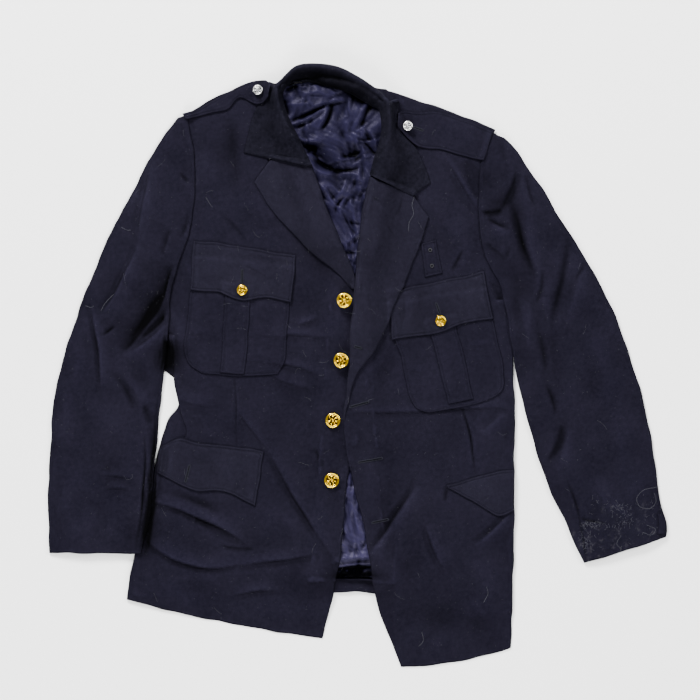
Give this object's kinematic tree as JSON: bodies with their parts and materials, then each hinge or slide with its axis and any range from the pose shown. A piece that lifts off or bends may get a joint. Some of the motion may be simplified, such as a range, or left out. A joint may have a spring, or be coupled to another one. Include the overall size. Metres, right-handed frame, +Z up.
{
  "type": "service dress jacket",
  "caption": "Wool dress jacket laid flat, notched lapels, pleated flap pockets, shoulder straps, domed metal buttons.",
  "frame": {"origin": "centre of the jacket's box, on the surface that it lies on", "axes": "+Z up, away from the surface; +X towards the wearer's left sleeve, which is the viewer's right; +Y towards the collar"},
  "size_m": [0.866, 0.8426, 0.0299],
  "materials": {
    "wool": "dark navy wool twill with a soft nap",
    "satin": "dark blue-violet satin lining, creased",
    "gold_button": "polished gilt, dark in its hollows",
    "silver_button": "polished white metal",
    "eyelet": "dull thread-bound metal ring"
  },
  "bodies": {
    "root": {"back": "wool", "back_hem": "wool", "front_right": "wool", "front_left": "wool", "side_panel_right": "wool", "side_panel_left": "wool", "sleeve_right": "wool", "sleeve_left": "wool", "sleeve_right_under": "wool", "sleeve_left_under": "wool", "chest_pocket_right": "wool", "chest_pocket_left": "wool", "pleat_right": "wool", "pleat_left": "wool", "chest_flap_right": "wool", "chest_flap_left": "wool", "lower_flap_right": "wool", "lower_flap_left": "wool", "badge_tab": "wool", "epaulette_right": "wool", "epaulette_left": "wool", "cuff_tab": "wool", "lapel_right": "wool", "lapel_left": "wool", "collar": "wool", "back_lining": "satin", "button_front_1": "gold_button", "button_front_2": "gold_button", "button_front_3": "gold_button", "button_front_4": "gold_button", "button_pocket_right": "gold_button", "button_pocket_left": "gold_button", "button_shoulder_right": "silver_button", "button_shoulder_left": "silver_button", "eyelet_upper": "eyelet", "eyelet_lower": "eyelet"}
  },
  "joints": []
}
